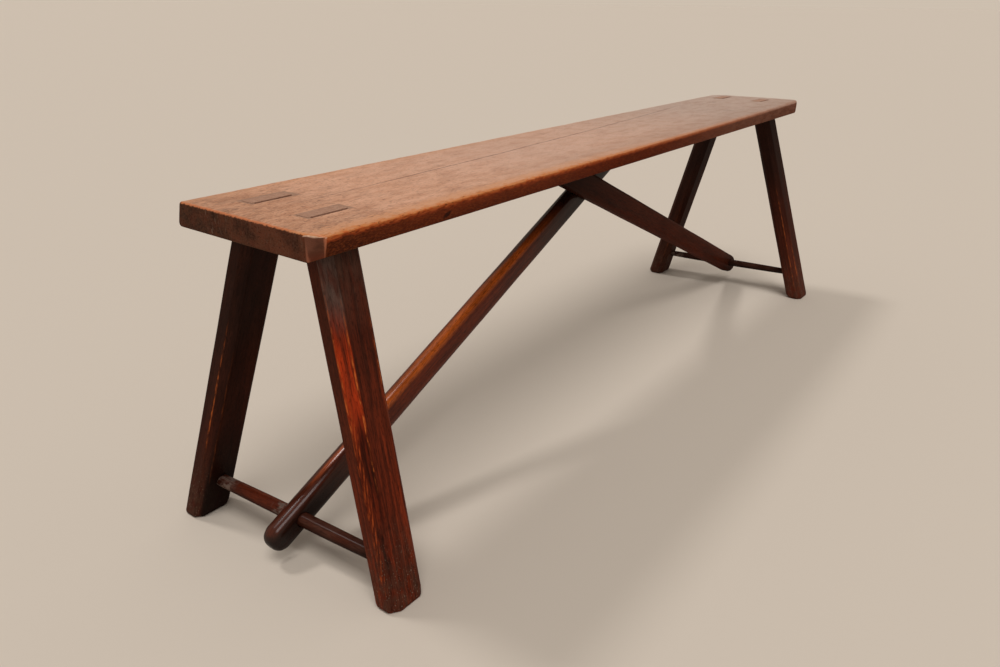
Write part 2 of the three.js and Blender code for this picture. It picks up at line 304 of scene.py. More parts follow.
def wedge_room(name):
    """The room of a tenon's wedge, which opens upwards."""
    room = bmesh.new()
    bmesh.ops.create_cube(room, size=1)
    top = middle_at(f"tenon_wedge_{name}", seat_top)
    for vert in room.verts:
        above = vert.co.z > 0
        height = seat_top + overrun if above else seat_top - wedge_deep
        thick = wedge_thick_at_top if above else wedge_thick_at_foot
        spot = top + leg_leans[name] * (height - seat_top)
        vert.co = Vector((spot.x + vert.co.x * wedge_long, spot.y + vert.co.y * thick, height))
    return made_piece("room", room)


plank = drawn_out(seat_outlines())
for vert in plank.verts:
    vert.co.x -= worn_back(vert.co.y) * clamp((vert.co.x - seat_right) / end_worn_length + 1)
seat = made_piece("seat_plank", plank)
for name in leg_names:
    mortise = tenon_bar(name, mortise_room, seat_under - overrun, seat_top + overrun)
    cut_out(seat, [made_piece("mortise", mortise)])
    cut_out(seat, [wedge_room(name)])
smooth(seat, 35)
mark_grain(seat, seat_grain)


def linear(code):
    """The linear colour of an sRGB hex code."""
    parts = [int(code[i:i + 2], 16) / 255 for i in (1, 3, 5)]
    return tuple(p / 12.92 if p < 0.04045 else ((p + 0.055) / 1.055) ** 2.4 for p in parts) + (1,)


def add(tree, kind, inputs, out=0, **settings):
    """Adds one node with its settings and its inputs, as values, colours or links, and gives one output."""
    made = tree.nodes.new("ShaderNode" + kind)
    for name, value in settings.items():
        setattr(made, name, value)
    for name, value in inputs.items():
        if isinstance(value, bpy.types.NodeSocket):
            tree.links.new(value, made.inputs[name])
        else:
            made.inputs[name].default_value = linear(value) if isinstance(value, str) else value
    return made.outputs[out]


def reckon(tree, operation, *values):
    """The outcome of an operation on numbers and outputs."""
    return add(tree, "Math", dict(enumerate(values)), operation=operation)


def ramp(tree, measure, *limits, eased=False):
    """How far a measure is on its way between two values, or between the shares given for them."""
    way = "SMOOTHSTEP" if eased else "LINEAR"
    return add(tree, "MapRange", dict(enumerate((measure, *limits))), interpolation_type=way)


def new_wood(name, roughness, wax=0.0, wax_roughness=0.3):
    """A wood's material, node tree, surface and grain. A waxed wood shines by a thin clear coat alone."""
    made = bpy.data.materials.new(name)
    made.use_nodes = True
    surface = made.node_tree.nodes["Principled BSDF"]
    surface.inputs["Roughness"].default_value = roughness
    surface.inputs["Specular IOR Level"].default_value = 0.0 if wax else 0.05
    surface.inputs["Coat Weight"].default_value = wax
    surface.inputs["Coat Roughness"].default_value = wax_roughness
    grain = add(made.node_tree, "Attribute", {}, 1, attribute_name="grain")
    return made, made.node_tree, surface, grain


def figure(tree, grain, across, along, low, high, seed, detail=4, twist=0.0):
    """Where a figure of the wood shows, from 0 to 1: so many millimetres across and along the grain."""
    size = [1 / (millimetres * mm) for millimetres in (across, across, along)]
    shift = (seed * 7.3, seed * 3.1, seed)
    place = add(tree, "Mapping", {"Vector": grain, "Scale": size, "Location": shift})
    cloud = add(tree, "TexNoise", {"Vector": place, "Scale": 1, "Detail": detail, "Distortion": twist})
    return ramp(tree, cloud, low, high, eased=True)


def apart(tree, measure, mark):
    """How far a measure is from a mark, to either side."""
    gap = reckon(tree, "SUBTRACT", measure, mark)
    return reckon(tree, "ABSOLUTE", gap)


def masked(tree, share, *masks):
    """A share weakened by masks. A mask is an output, or a measure with the two values between
    which it comes in, and then the shares at these two if they aren't 0 and 1. A place's values
    are in metres."""
    for mask in masks:
        if isinstance(mask, tuple):
            measure, *limits = mask
            mask = ramp(tree, measure, *limits)
        share = reckon(tree, "MULTIPLY", share, mask)
    return share


def tinted(tree, tone, *coats):
    """A tone with colours laid on in turn, each by its colour, its strength and its masks. A mix
    node's colours are its inputs 6 and 7, and the mixed colour is its output 2."""
    for colour, strength, *masks in coats:
        share = masked(tree, strength, *masks)
        tone = add(tree, "Mix", {0: share, 6: tone, 7: colour}, 2, data_type="RGBA")
    return tone


def give_finish(tree, surface, tone, relief, strength, depth):
    """Gives a surface its colour, and sinks the relief into it."""
    tree.links.new(tone, surface.inputs["Base Color"])
    bump = add(tree, "Bump", {"Height": relief, "Strength": strength, "Distance": depth}, invert=True)
    tree.links.new(bump, surface.inputs["Normal"])


# Waxed elm: an open-grained brown wood, speckled and stained on top under a satin wax, orange where
# its arrises are rubbed bare, red-brown on its edges and dry dark grey-brown in its end grain. Its
# pores and fibres are a third of a millimetre wide, and are drawn 1.5 mm wide to show.
seat_elm, tree, surface, grain = new_wood("waxed_elm", 0.4)
surface.inputs["Specular IOR Level"].default_value = 0.06
across, height, along = add(tree, "SeparateXYZ", {0: grain}).node.outputs
broad = figure(tree, grain, 60, 340, 0.35, 0.65, 1)
mottle = figure(tree, grain, 14, 30, 0.4, 0.68, 2, 6)
streak = figure(tree, grain, 6, 320, 0.42, 0.7, 3, 5)
fibre = figure(tree, grain, 1.5, 30, 0.45, 0.7, 4, 4)
pore = figure(tree, grain, 1.5, 7, 0.57, 0.68, 5, 1)
grit = figure(tree, grain, 2.2, 3.4, 0.42, 0.66, 6, 3)
stain = figure(tree, grain, 26, 40, 0.44, 0.66, 7, 6)
bare = figure(tree, grain, 4, 8, 0.36, 0.6, 9, 5)
nick = figure(tree, grain, 2.6, 5, 0.58, 0.66, 10, 3)

# How far a place lies in from the front edge's top line, which curves back to the right and is
# cut off at the broken corner
half_width = seat_left_width / 2
half_taper = (seat_left_width - seat_right_width) / 2
part_way = reckon(tree, "DIVIDE", along, seat_length)
cubed = reckon(tree, "POWER", part_way, 3)
front_line = -half_width - front_lean - least_lean
front_line = reckon(tree, "MULTIPLY_ADD", cubed, front_lean, front_line)
front_line = reckon(tree, "MULTIPLY_ADD", part_way, half_taper, front_line)
corner_cut = corner_facet_depth - least_lean
corner_slope = -corner_cut / corner_facet_at_top
corner_line = reckon(tree, "MULTIPLY_ADD", along, corner_slope, corner_cut)
corner_line = reckon(tree, "MAXIMUM", corner_line, 0)
front_line = reckon(tree, "ADD", front_line, corner_line)
from_front = reckon(tree, "SUBTRACT", across, front_line)

# How far a place lies over the nearer long arris: it counts inwards on the top and, three times as
# fast, down the edge. The wear has a ragged border near the left end and a smoother one to the right.
back_line = reckon(tree, "MULTIPLY_ADD", part_way, -half_taper, half_width)
from_back = reckon(tree, "SUBTRACT", back_line, across)
inward = reckon(tree, "MINIMUM", from_front, from_back)
sunk = reckon(tree, "SUBTRACT", height, seat_thick)
over = reckon(tree, "MULTIPLY_ADD", sunk, 3, inward)
raggedness = ramp(tree, along, 0.2, 0.7, 8 * mm, 3 * mm)
ragged = reckon(tree, "SUBTRACT", bare, 0.5)
over = reckon(tree, "MULTIPLY_ADD", ragged, raggedness, over)

# The top: brown at the left end, paler to the middle, and greyer and a little darker to the right,
# where a grey sheen of reflected light and a falling off of the light are painted in. Its figure is
# strong at the left and two fifths as strong beyond, where the wood is too far off to show it all.
at_left = ramp(tree, along, 0.46, 0.06, 0.38, 1)
tone = tinted(
    tree, "#c99e87",
    # The grey towards the right end is a painted sheen and a painted falling off of light
    ("#cfa58f", 1, broad), ("#b49a8c", 1, (along, 0.66, 1.15)), ("#daa384", 0.9, (along, 0.5, 0.2)),
    ("#c08969", 0.85, (along, 0.13, 0.03)), ("#8a5338", 0.27, mottle, at_left),
    ("#99603f", 0.22, streak, at_left), ("#7a503b", 0.26, stain, at_left),
    ("#e6b48c", 0.3, grit, at_left), ("#8c5134", 0.34, fibre, at_left), ("#55301f", 0.6, pore, at_left),
)

# Dark marks on the top, each by its place across and along the board in metres, its size in
# millimetres and its strength
on_top = add(tree, "CombineXYZ", {0: across, 2: along})
for mark_across, mark_along, size, strength in (
    (0.08, 0.02, 34, 0.32), (-0.115, 0.112, 8, 0.6), (-0.104, 0.086, 7, 0.35), (-0.098, 0.03, 12, 0.45),
    (0.03, 0.012, 14, 0.5), (0.02, 0.34, 12, 0.3), (0.07, 0.66, 10, 0.35), (-0.05, 1.18, 18, 0.4),
    (0.035, 1.3, 14, 0.45), (-0.03, 0.8, 7, 0.35),
):
    away = add(tree, "VectorMath", {0: on_top, 1: (mark_across, 0, mark_along)}, 1, operation="DISTANCE")
    blot = ramp(tree, away, size * mm, size * 0.3 * mm, eased=True)
    tone = tinted(tree, tone, ("#54382b", strength, blot, bare))

# The grey stain that has crept out of each mortise
for name in leg_names:
    beside = apart(tree, across, tenon_tops[name].y - seat_middle - 1 * mm)
    beside = reckon(tree, "SUBTRACT", beside, 11 * mm)
    beyond = apart(tree, along, tenon_tops[name].x - seat_left + 1.5 * mm)
    beyond = reckon(tree, "SUBTRACT", beyond, 30 * mm)
    outside = reckon(tree, "MAXIMUM", beside, beyond)
    outside = reckon(tree, "MULTIPLY_ADD", stain, -2 * mm, outside)
    creep = ramp(tree, outside, 3.2 * mm, 0.4 * mm, eased=True)
    tone = tinted(tree, tone, ("#94705b" if "left" in name else "#957565", 0.85, creep))

# The drying shake: one dark crack, drawn 2 mm wide to show. It drifts back from left to right, by
# its place at the bench's middle, its drift there and its bend.
crack_place = 0.0273
crack_drift = 0.0679
crack_bend = 0.0353
from_middle = reckon(tree, "ADD", along, seat_left)
crack_line = reckon(tree, "MULTIPLY_ADD", from_middle, crack_bend, crack_drift)
crack_line = reckon(tree, "MULTIPLY_ADD", from_middle, crack_line, crack_place)
shiver = figure(tree, grain, 400, 26, 0, 1, 8, 5)
crack_line = reckon(tree, "MULTIPLY_ADD", shiver, 3 * mm, crack_line)
shake = masked(
    tree, 1, (apart(tree, across, crack_line), 1.6 * mm, 0.6 * mm), (along, 0.05, 0.24),
    (along, 1.21, 1.12), (height, 24 * mm, 27 * mm),
)
tone = tinted(tree, tone, ("#4a2013", 1, shake, (bare, 0, 1, 0.95, 0.6)))

# The left end's upper arris, a thin orange line with breaks in it
end_line = reckon(tree, "MULTIPLY_ADD", bare, 1.6 * mm, along)
tone = tinted(tree, tone, ("#c06e42", 0.85, (end_line, 5 * mm, 2.6 * mm), (height, 26 * mm, 28 * mm)))

# The long arrises: the top grows warm towards the front one, less so towards the back one, and both
# are rubbed to bare orange wood, which turns red as it goes over into the edge. Most of it is at
# the left, and the front one is dull beyond. Each zone is given by millimetres over the arris.
fade = ramp(tree, along, 0.5, 1.3, 1, 0.12)
front_side = reckon(tree, "SUBTRACT", from_back, from_front)
nearer_front = (front_side, -20 * mm, 20 * mm, 0.3, 1)
dull = masked(tree, 1, (along, 0.3, 0.6), (front_side, -20 * mm, 30 * mm))
glow = masked(tree, 1, (along, 0.8, 0.4), nearer_front)
rubbed_top = masked(tree, fade, nearer_front)
for start, full, strength, colour, where in (
    (74, 26, 0.2, "#7d5440", dull), (34, 12, 0.7, "#cf9065", glow), (12, 3, 0.85, "#c6773f", rubbed_top),
    (2, -5, 0.9, "#bd5d2e", fade), (-6, -12, 0.9, "#923e1e", fade),
):
    zone = ramp(tree, over, start * mm, full * mm, eased=True)
    tone = tinted(tree, tone, (colour, strength, zone, where))
arris = ramp(tree, over, 9 * mm, 2 * mm)
tone = tinted(tree, tone, ("#5a2a17", 1, arris, nick, (along, 0.2, 0.6, 0.7, 0.25)))

# The front and back edges: red-brown, darker downwards, with one knot in the front
edge_tone = tinted(
    tree, "#7d3215",
    ("#55200e", 1, (height, 24 * mm, 1 * mm)), ("#3f1b0d", 0.75, (along, 0.15, 0.05)),
    ("#551203", 0.6, (along, 0.36, 0.54)), ("#7c5546", 0.9, (along, 0.74, 1.1)), ("#4f1f0e", 0.4, mottle),
    ("#3f190c", 0.35, fibre), ("#a2562c", 0.3, grit), ("#2b110a", 0.4, pore),
)
on_edge = add(tree, "CombineXYZ", {1: height, 2: along})
away = add(tree, "VectorMath", {0: on_edge, 1: (0, 11 * mm, 0.2)}, 1, operation="DISTANCE")
knot = ramp(tree, away, 7 * mm, 3 * mm, eased=True)
edge = ramp(tree, over, -10 * mm, -20 * mm, eased=True)
tone = tinted(tree, tone, (tinted(tree, edge_tone, ("#1e0c07", 0.8, knot)), 1, edge))

# The dry end grain, blotched, with a few pale scratches
end_rings = add(tree, "Mapping", {"Vector": grain, "Location": (0.03, 0.24, 0), "Scale": (1, 1, 0)})
end_rings = add(tree, "TexWave", {
    "Vector": end_rings, "Scale": 70, "Distortion": 9, "Detail": 4, "Detail Scale": 2,
}, 1, wave_type="RINGS", rings_direction="Z")
dry_end = tinted(
    tree, "#3b271e",
    ("#472e20", 1, end_rings), ("#6c3d2a", 1, (across, 0.06, -0.06, 0.1, 0.65)),
    ("#22140f", 0.6, stain), ("#683625", 0.4, mottle), ("#66493a", 0.3, grit), ("#1a0e0a", 0.5, nick),
)
for turn, seed in ((0.5, 1), (-0.9, 4)):
    scratch = add(tree, "Mapping", {
        "Vector": grain, "Rotation": (0, 0, turn), "Scale": (500, 70, 0), "Location": (seed, seed, 0),
    })
    scratch = add(tree, "TexNoise", {"Vector": scratch, "Scale": 1, "Detail": 1})
    scratched = (apart(tree, across, 44 * mm), 26 * mm, 10 * mm, 0.12, 0.6)
    dry_end = tinted(tree, dry_end, ("#8f7a6b", 1, (scratch, 0.66, 0.74), scratched))
left_end = ramp(tree, along, 2.4 * mm, 0.5 * mm)
right_end = ramp(tree, along, seat_length - 4 * mm, seat_length - 1 * mm)
torn_height = reckon(tree, "MULTIPLY_ADD", bare, 1.1 * mm, height)
end = reckon(tree, "MAXIMUM", left_end, right_end)
end = masked(tree, end, (torn_height, 29.6 * mm, 28.4 * mm))
tone = tinted(tree, tone, (dry_end, 1, end))

# The broken front left corner: its own face, its left edge rubbed paler, and a painted highlight,
# almost white, along its crease and its top arris, where it is also rubbed
rise = reckon(tree, "DIVIDE", height, seat_thick)
crease_slope = corner_facet_at_top - corner_facet_at_bottom
crease = reckon(tree, "MULTIPLY_ADD", rise, crease_slope, corner_facet_at_bottom)
crease = reckon(tree, "SUBTRACT", along, crease)
at_front = ramp(tree, across, -105 * mm, -106 * mm)
facet_tone = tinted(tree, "#744939", ("#5e3b2e", 1, mottle), ("#6e2f1b", 0.7, (rise, 0.45, 0)))
arris_highlight_line = reckon(tree, "ADD", sunk, from_front)
tone = tinted(
    tree, tone,
    (facet_tone, 1, (crease, 0.5 * mm, -0.5 * mm), at_front, (sunk, -0.8 * mm, -1.8 * mm)),
    # Painted highlight down the crease, where it is also rubbed
    ("#d98a68", 1, (apart(tree, crease, 0), 1.5 * mm, 0.4 * mm), (rise, 0.05, 0.9, 0.2, 0.75), at_front),
    (
        "#a5674e", 0.7, (apart(tree, across, -106 * mm), 1.1 * mm, 0.3 * mm), (along, 5 * mm, 3 * mm),
        (rise, 0.7, 0.1, 0.15, 1),
    ),
    # Painted highlight along the corner's top arris
    (
        "#f6cdb2", 1, (apart(tree, arris_highlight_line, 0), 1.3 * mm, 0.5 * mm), (height, 26.5 * mm, 28 * mm),
        (along, 9 * mm, 7.5 * mm), (bare, 0, 1, 0.6, 1),
    ),
)

# The unwaxed underside, sawn and never planed
under = ramp(tree, height, 1.4 * mm, 0.5 * mm, 0, 0.9)
kerf = add(tree, "TexWave", {
    "Vector": grain, "Scale": 40, "Distortion": 2, "Detail": 2,
}, 1, bands_direction="Z")
raw = tinted(tree, "#56402f", ("#47301f", 1, kerf), ("#36241a", 1, streak))
tone = tinted(tree, tone, (raw, 1, under))

# Wax shines more between the fibres, and the end and underside are dry. A mix of numbers has them
# at its inputs 2 and 3.
gloss = ramp(tree, mottle, 0, 1, 0.36, 0.46)
gloss = add(tree, "Mix", {0: end, 2: gloss, 3: 0.6}, data_type="FLOAT")
gloss = add(tree, "Mix", {0: under, 2: gloss, 3: 0.85}, data_type="FLOAT")
tree.links.new(gloss, surface.inputs["Roughness"])
relief = reckon(tree, "MULTIPLY_ADD", mottle, 0.3, fibre)
for hollow, depth in ((pore, 0.8), (shake, 0.5), (nick, arris)):
    relief = reckon(tree, "MULTIPLY_ADD", hollow, depth, relief)
give_finish(tree, surface, tone, relief, 0.5, 0.25 * mm)
seat.data.materials.clear()
seat.data.materials.append(seat_elm)

# The edges have had less wax than the top, so they shine by a very thin coat alone. They are all
# the faces that point up less than this share of the way.
least_upward = 0.35
edge_elm = seat_elm.copy()
edge_elm.name = "thinly_waxed_elm"
surface = edge_elm.node_tree.nodes["Principled BSDF"]
surface.inputs["Specular IOR Level"].default_value = 0
surface.inputs["Coat Weight"].default_value = 0.06
seat.data.materials.append(edge_elm)
for face in seat.data.polygons:
    face.material_index = int(face.normal.z < least_upward)
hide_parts("seat_board")
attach(seat, "root")

# Legs
# Four pieces of squared oak with their arrises planed off, cut level at the floor. Each ends in a
# tenon that comes up through the seat and is cleaned off flush. Age and wax have made them almost
# black, and people's heels and hands have rubbed some faces red and some arrises orange.
wide = 29.5 * mm  # half a leg's width
thick = 19 * mm  # half its thickness
chamfer = 9.5 * mm  # what is planed off its arrises
wide_chamfer = 13.5 * mm  # and off the near leg's front left one
foot_height = 7 * mm  # how far up its foot is worn round
leg_corners = [Vector(corner) for corner in (
    (-wide, thick - chamfer), (-wide, chamfer - thick), (chamfer - wide, -thick), (wide - chamfer, -thick),
    (wide, chamfer - thick), (wide, thick - chamfer), (wide - chamfer, thick), (chamfer - wide, thick),
)]
near_leg_corners = list(leg_corners)
near_leg_corners[2] = Vector((wide_chamfer - wide, -thick))


def leg_outline(name, number, height, inset):
    """A leg's cross-section at a height: eight faces, shaved slightly uneven by hand."""
    middle = leg_feet[name] + leg_leans[name] * height
    corners = []
    for i, corner in enumerate(near_leg_corners if name == "left_front" else leg_corners):
        shave = 0.45 * mm * (1 + wobble(height * 9, i * 7.3, number * 11))
        worn_foot = 1.3 * mm * ease(wobble(height * 260, i * 5.7, number), -0.1, 0.7)
        worn_foot *= 1 - ease(height, 0, foot_height)
        corners.append(corner - corner.normalized() * (shave + worn_foot + inset))
    radii = [(1.6 + 0.9 * wobble(height * 22, i * 3.1, number * 5)) * mm for i in range(8)]
    outline = rounded(corners, radii, (4, 2, 5, 2, 4, 2, 5, 2), close=2.5 * mm)
    return [Vector((middle.x + x, middle.y + y, height)) for x, y in outline]


def leg_mesh(name, number):
    count = 90
    foot = [(0, 4.2 * mm), (0.5 * mm, 3 * mm), (1.5 * mm, 1.9 * mm), (3.5 * mm, 0.8 * mm), (foot_height, 0)]
    step = leg_tops[name].z - foot_height
    rest = [(foot_height + step * i / count, 0) for i in range(1, count + 1)]
    return drawn_out([leg_outline(name, number, height, inset) for height, inset in foot + rest])


def leg_grain(name):
    """A place in a leg's own measure: across its width, through its thickness, and up from the floor."""
    lean = leg_leans[name]
    foot = leg_feet[name]
    return lambda spot: Vector((spot.x - foot.x - lean.x * spot.z, spot.y - foot.y - lean.y * spot.z, spot.z))


# Oak under old dark wax: nearly black, with dark pores along the grain, red-brown streaks where the
# wax is rubbed thin and broken orange lines where it is gone from the arrises. Semi-gloss. Its pores
# are a third of a millimetre wide, and are drawn 1 mm wide to show.
def darkly_waxed(tree, surface, grain, red, rubbed, coats, lines=0.0):
    """The finish from where it is rubbed red, further coats laid on in turn, and its bare arrises."""
    broad = figure(tree, grain, 28, 110, 0.35, 0.65, 1)
    streak = figure(tree, grain, 4, 90, 0.36, 0.64, 2, 5, 0.4)
    pore = figure(tree, grain, 1.0, 26, 0.46, 0.68, 3, 4)
    fleck = figure(tree, grain, 1.6, 7, 0.5, 0.68, 4, 3)
    bare = figure(tree, grain, 2.5, 14, 0.44, 0.6, 5, 4)
    warm = tinted(tree, "#632411", (red, 1, streak))
    tone = tinted(
        tree, "#2a1812",
        ("#3a1f16", 1, broad), (warm, 1, rubbed, (broad, 0, 1, 0.7, 1)), *coats, ("#170a07", 0.4, pore),
        ("#d06a30", 1, lines, (bare, 0, 1, 0.06, 1)), ("#160a06", 0.4, fleck),
    )
    relief = reckon(tree, "MULTIPLY_ADD", fleck, 0.7, pore)
    give_finish(tree, surface, tone, relief, 0.45, 0.25 * mm)


# For each leg: how far it is rubbed red at its foot, middle and top, and the red itself; from what
# height the painted shade under the seat sets in, up to what, and how strongly; and which arrises are
# rubbed through, between what heights and how far
leg_wear = {
    "left_front": (
        (0.8, 0.95, 0.35), "#9a3a1c", (0.4, 0.428, 0.65),
        ((1, 0.2, 0.42, 0.72), (2, 0.15, 0.39, 1), (3, 0.22, 0.38, 0.85), (6, 0.1, 0.3, 0.6)),
    ),
    "left_back": (
        (0.4, 0.25, 0.05), "#5e2415", (0.4, 0.428, 0.65),
        (
            (1, 0.1, 0.32, 0.6), (2, 0.05, 0.28, 0.12), (4, 0.06, 0.36, 0.7), (6, 0.1, 0.36, 0.7),
            (7, 0.02, 0.2, 0.5),
        ),
    ),
    "right_front": (
        (0.8, 0.4, 0.12), "#7e3623", (0.15, 0.36, 0.5),
        (
            (1, 0.01, 0.28, 0.5), (2, 0.01, 0.16, 1), (3, 0.03, 0.4, 0.7), (5, 0.1, 0.3, 0.6),
            (7, 0.01, 0.44, 0.5),
        ),
    ),
    "right_back": (
        (0.35, 0.2, 0.06), "#5e2a1b", (0.15, 0.36, 0.25),
        ((1, 0.02, 0.2, 0.3), (4, 0.1, 0.34, 0.6), (6, 0.05, 0.3, 0.7)),
    ),
}


def near_leg_coats(tree, grain, across, depth, up):
    """The coats that only the near leg shows, on its left face and its wide planed corner."""
    inward = Vector((chamfer, wide_chamfer)).normalized()
    face = inward.dot(near_leg_corners[1])
    planed = reckon(tree, "MULTIPLY", depth, inward.y)
    planed = reckon(tree, "MULTIPLY_ADD", across, inward.x, planed)
    planed = ramp(tree, planed, face + 2 * mm, face + 1.2 * mm)
    front = (depth, -16 * mm, -18 * mm)
    cloud = figure(tree, grain, 9, 30, 0.3, 0.6, 8)
    streaks = figure(tree, grain, 3, 60, 0.3, 0.65, 12, 3)
    patch = figure(tree, grain, 6, 50, 0.4, 0.55, 9, 5)
    torn = figure(tree, grain, 2.5, 14, 0.3, 0.6, 11, 4)
    # Strokes of early wood slant down from the left arris, one to each stroke's length
    stroke = 26 * mm
    aside = apart(tree, across, -28.5 * mm)
    shiver = figure(tree, grain, 7, 30, 0, 1, 6)
    strokes = reckon(tree, "MULTIPLY_ADD", aside, -9, up)
    strokes = reckon(tree, "MULTIPLY_ADD", shiver, stroke, strokes)
    strokes = reckon(tree, "MULTIPLY", strokes, math.tau / stroke)
    strokes = reckon(tree, "SINE", strokes)
    return [
        # The left face is hardly rubbed
        ("#4e2619", 1, (across, -28 * mm, -29 * mm), (up, 0.06, 0.24, 0.2, 0.7)),
        # Old wax bloomed grey under the seat, most of all on the planed corner, with light painted in as a
        # grey sheen
        ("#634539", 0.85, front, (up, 0.33, 0.42), (up, 0.44, 0.43), (cloud, 0, 1, 0.3, 1)),
        ("#735d55", 0.85, planed, (up, 0.33, 0.38), (up, 0.44, 0.43), (cloud, 0, 1, 0.3, 1)),
        # A deep red panel below it on that corner, and dark red-brown further down
        ("#b83c18", 0.95, planed, (up, 0.19, 0.25), (up, 0.37, 0.31), (streaks, 0, 1, 0.3, 1)),
        ("#47170b", 0.6, planed, (up, 0.27, 0.2)),
        # Orange early wood in short ragged strokes, and a black patch of wax just right of them
        (
            "#ab4a20", 0.95, (strokes, -0.1, 0.6), torn, planed, (aside, 5.5 * mm, 3 * mm),
            (up, 0.29, 0.22), (up, 0.02, 0.05),
        ),
        (
            "#1c0c08", 0.75, patch, (across, -25 * mm, -23 * mm), (across, -12 * mm, -17 * mm),
            (up, 0.25, 0.2), (up, 0.03, 0.07),
        ),
    ]


def leg_finish(name):
    (at_foot, at_middle, at_top), red, (under_seat_shade_from, under_seat_shade_full, under_seat_shade_strength), arrises = leg_wear[name]
    made, tree, surface, grain = new_wood(f"dark_oak_{name}", 0.34, 0.1, 0.3)
    across, depth, up = add(tree, "SeparateXYZ", {0: grain}).node.outputs
    higher = ramp(tree, up, 0.17, 0.3)
    rubbed = ramp(tree, up, 0.04, 0.12, at_foot, at_middle)
    rubbed = add(tree, "Mix", {0: higher, 2: rubbed, 3: at_top}, data_type="FLOAT")
    level = add(tree, "CombineXYZ", {0: across, 1: depth})
    lines = 0.0
    for i, low, high, strength in arrises:
        corner = near_leg_corners[i] if name == "left_front" else leg_corners[i]
        away = add(tree, "VectorMath", {0: level, 1: (*corner, 0)}, 1, operation="DISTANCE")
        line = (away, 1.7 * mm, 0.8 * mm)
        line = masked(tree, strength, line, (up, low, low + 0.05), (up, high, high - 0.09))
        lines = reckon(tree, "MAXIMUM", line, lines)
    grime = figure(tree, grain, 10, 16, 0.3, 0.6, 7, 5)
    specks = figure(tree, grain, 1.6, 1.9, 0.67, 0.72, 10, 1)
    coats = near_leg_coats(tree, grain, across, depth, up) if name == "left_front" else []
    coats += [
        # Dust and specks of old floor paint on the foot, and painted shade at the top, under the seat
        ("#4f372b", 0.6, grime, (up, 0.13, 0.02)), ("#94806f", 0.75, specks, (up, 0.12, 0.03)),
        ("#120906", under_seat_shade_strength, (up, under_seat_shade_from, under_seat_shade_full)),
    ]
    if name == "left_back":
        # Darker on its front face, most of all towards the foot
        coats.append(("#0d0604", 1, (depth, -14 * mm, -17 * mm), (up, 0.16, 0.06, 0.2, 0.85)))
    darkly_waxed(tree, surface, grain, red, rubbed, coats, lines)
    return made


# End grain of the tenons, greyer and duller than the seat round it
tenon_oak, tree, surface, grain = new_wood("tenon_end_oak", 0.46)
bands = figure(tree, grain, 5, 400, 0.3, 0.7, 1)
spots = figure(tree, grain, 1.3, 400, 0.5, 0.7, 2)
tone = tinted(tree, "#a1765f", ("#b0866f", 1, bands), ("#553a2c", 0.5, spots))
give_finish(tree, surface, tone, spots, 0.4, 0.3 * mm)

for number, name in enumerate(leg_names):
    leg = made_piece(f"dark_leg_{name}", leg_mesh(name, number))
    smooth(leg, 50)
    mark_grain(leg, leg_grain(name))
    leg.data.materials.append(leg_finish(name))
    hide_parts(f"leg_{name}")
    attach(leg, "root")
    tenon = tenon_bar(name, -tenon_gap, seat_under - tenon_hidden, seat_top - tenon_shrunk)
    tenon = made_piece(f"tenon_end_{name}", tenon)
    smooth(tenon, 35)
    mark_grain(tenon, leg_grain(name))
    tenon.data.materials.append(tenon_oak)
    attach(tenon, "root")


# Tenon wedges
# A thin dry slip of oak driven into the front of each mortise. Only its top edge shows, a little
# darker than the tenon beside it.
def worked_copy(node, arris):
    """A copy of a small CAD solid with its arrises broken and its faces slightly uneven."""
    mesh = bmesh.new()
    mesh.from_mesh(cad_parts[node].data)
    bmesh.ops.remove_doubles(mesh, verts=mesh.verts, dist=0.01 * mm)
    bmesh.ops.dissolve_limit(mesh, angle_limit=math.radians(1), verts=mesh.verts, edges=mesh.edges)
    sharp = [edge for edge in mesh.edges if edge.calc_face_angle(0) > math.radians(25)]
    bmesh.ops.bevel(mesh, geom=sharp, offset=arris, segments=2, profile=0.5, affect="EDGES", material=-1)
    bmesh.ops.triangulate(mesh, faces=mesh.faces)
    bmesh.ops.subdivide_edges(mesh, edges=mesh.edges, cuts=2, use_grid_fill=True)
    middle = sum((vert.co for vert in mesh.verts), Vector()) / len(mesh.verts)
    for vert in mesh.verts:
        way = (vert.co - middle).normalized()
        vert.co -= way * arris * 0.5 * (1 + wobble(*(vert.co * 400)))
    return made_piece(f"worked_{node}", mesh)


wedge_wood, tree, surface, grain = new_wood("dry_oak_wedge", 0.7)
place = add(tree, "TexCoord", {}, 3)
fibres = figure(tree, place, 1.5, 12, 0.35, 0.65, 1)
tree.links.new(tinted(tree, "#5e3a2b", ("#835e4b", 1, fibres)), surface.inputs["Base Color"])
for name in leg_names:
    wedge = worked_copy(f"tenon_wedge_{name}", 0.3 * mm)
    wedge.data.materials.append(wedge_wood)
    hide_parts(f"tenon_wedge_{name}")
    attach(wedge, "root")


# End stretchers
# Round shaved ash, thicker in the middle, each end driven into a blind hole in a leg. On the way it
# passes through the low end of a pole.
def stretcher_line(node):
    """The middles of a stretcher's two end faces, from the points of its CAD solid near each tip."""
    cap_reach = 22 * mm
    verts = [vert.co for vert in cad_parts[node].data.vertices]
    ends = []
    for side in (min, max):
        tip = side(verts, key=lambda spot: spot.y)
        cap = [spot for spot in verts if (spot - tip).length < cap_reach]
        ends.append(sum(cap, Vector()) / len(cap))
    return ends


def round_outline(middle, radius, side_way, up_way, seed=0.0, uneven=0.0):
    """One turn round a stick, shaved slightly out of round."""
    outline = []
    sides = 28
    for i in range(sides):
        turn = math.tau * i / sides
        own = radius * (1 - uneven + uneven * wobble(math.cos(turn) * 1.5, math.sin(turn) * 1.5, seed))
        outline.append(middle + side_way * math.cos(turn) * own + up_way * math.sin(turn) * own)
    return outline


def stretcher_ways(side):
    """A stretcher's front and back end, its run, and the ways to its side and downwards."""
    front, back = stretcher_lines[side]
    run = (back - front).normalized()
    side_way = (Vector((1, 0, 0)) - run * run.x).normalized()
    return front, back, run, side_way, run.cross(side_way)


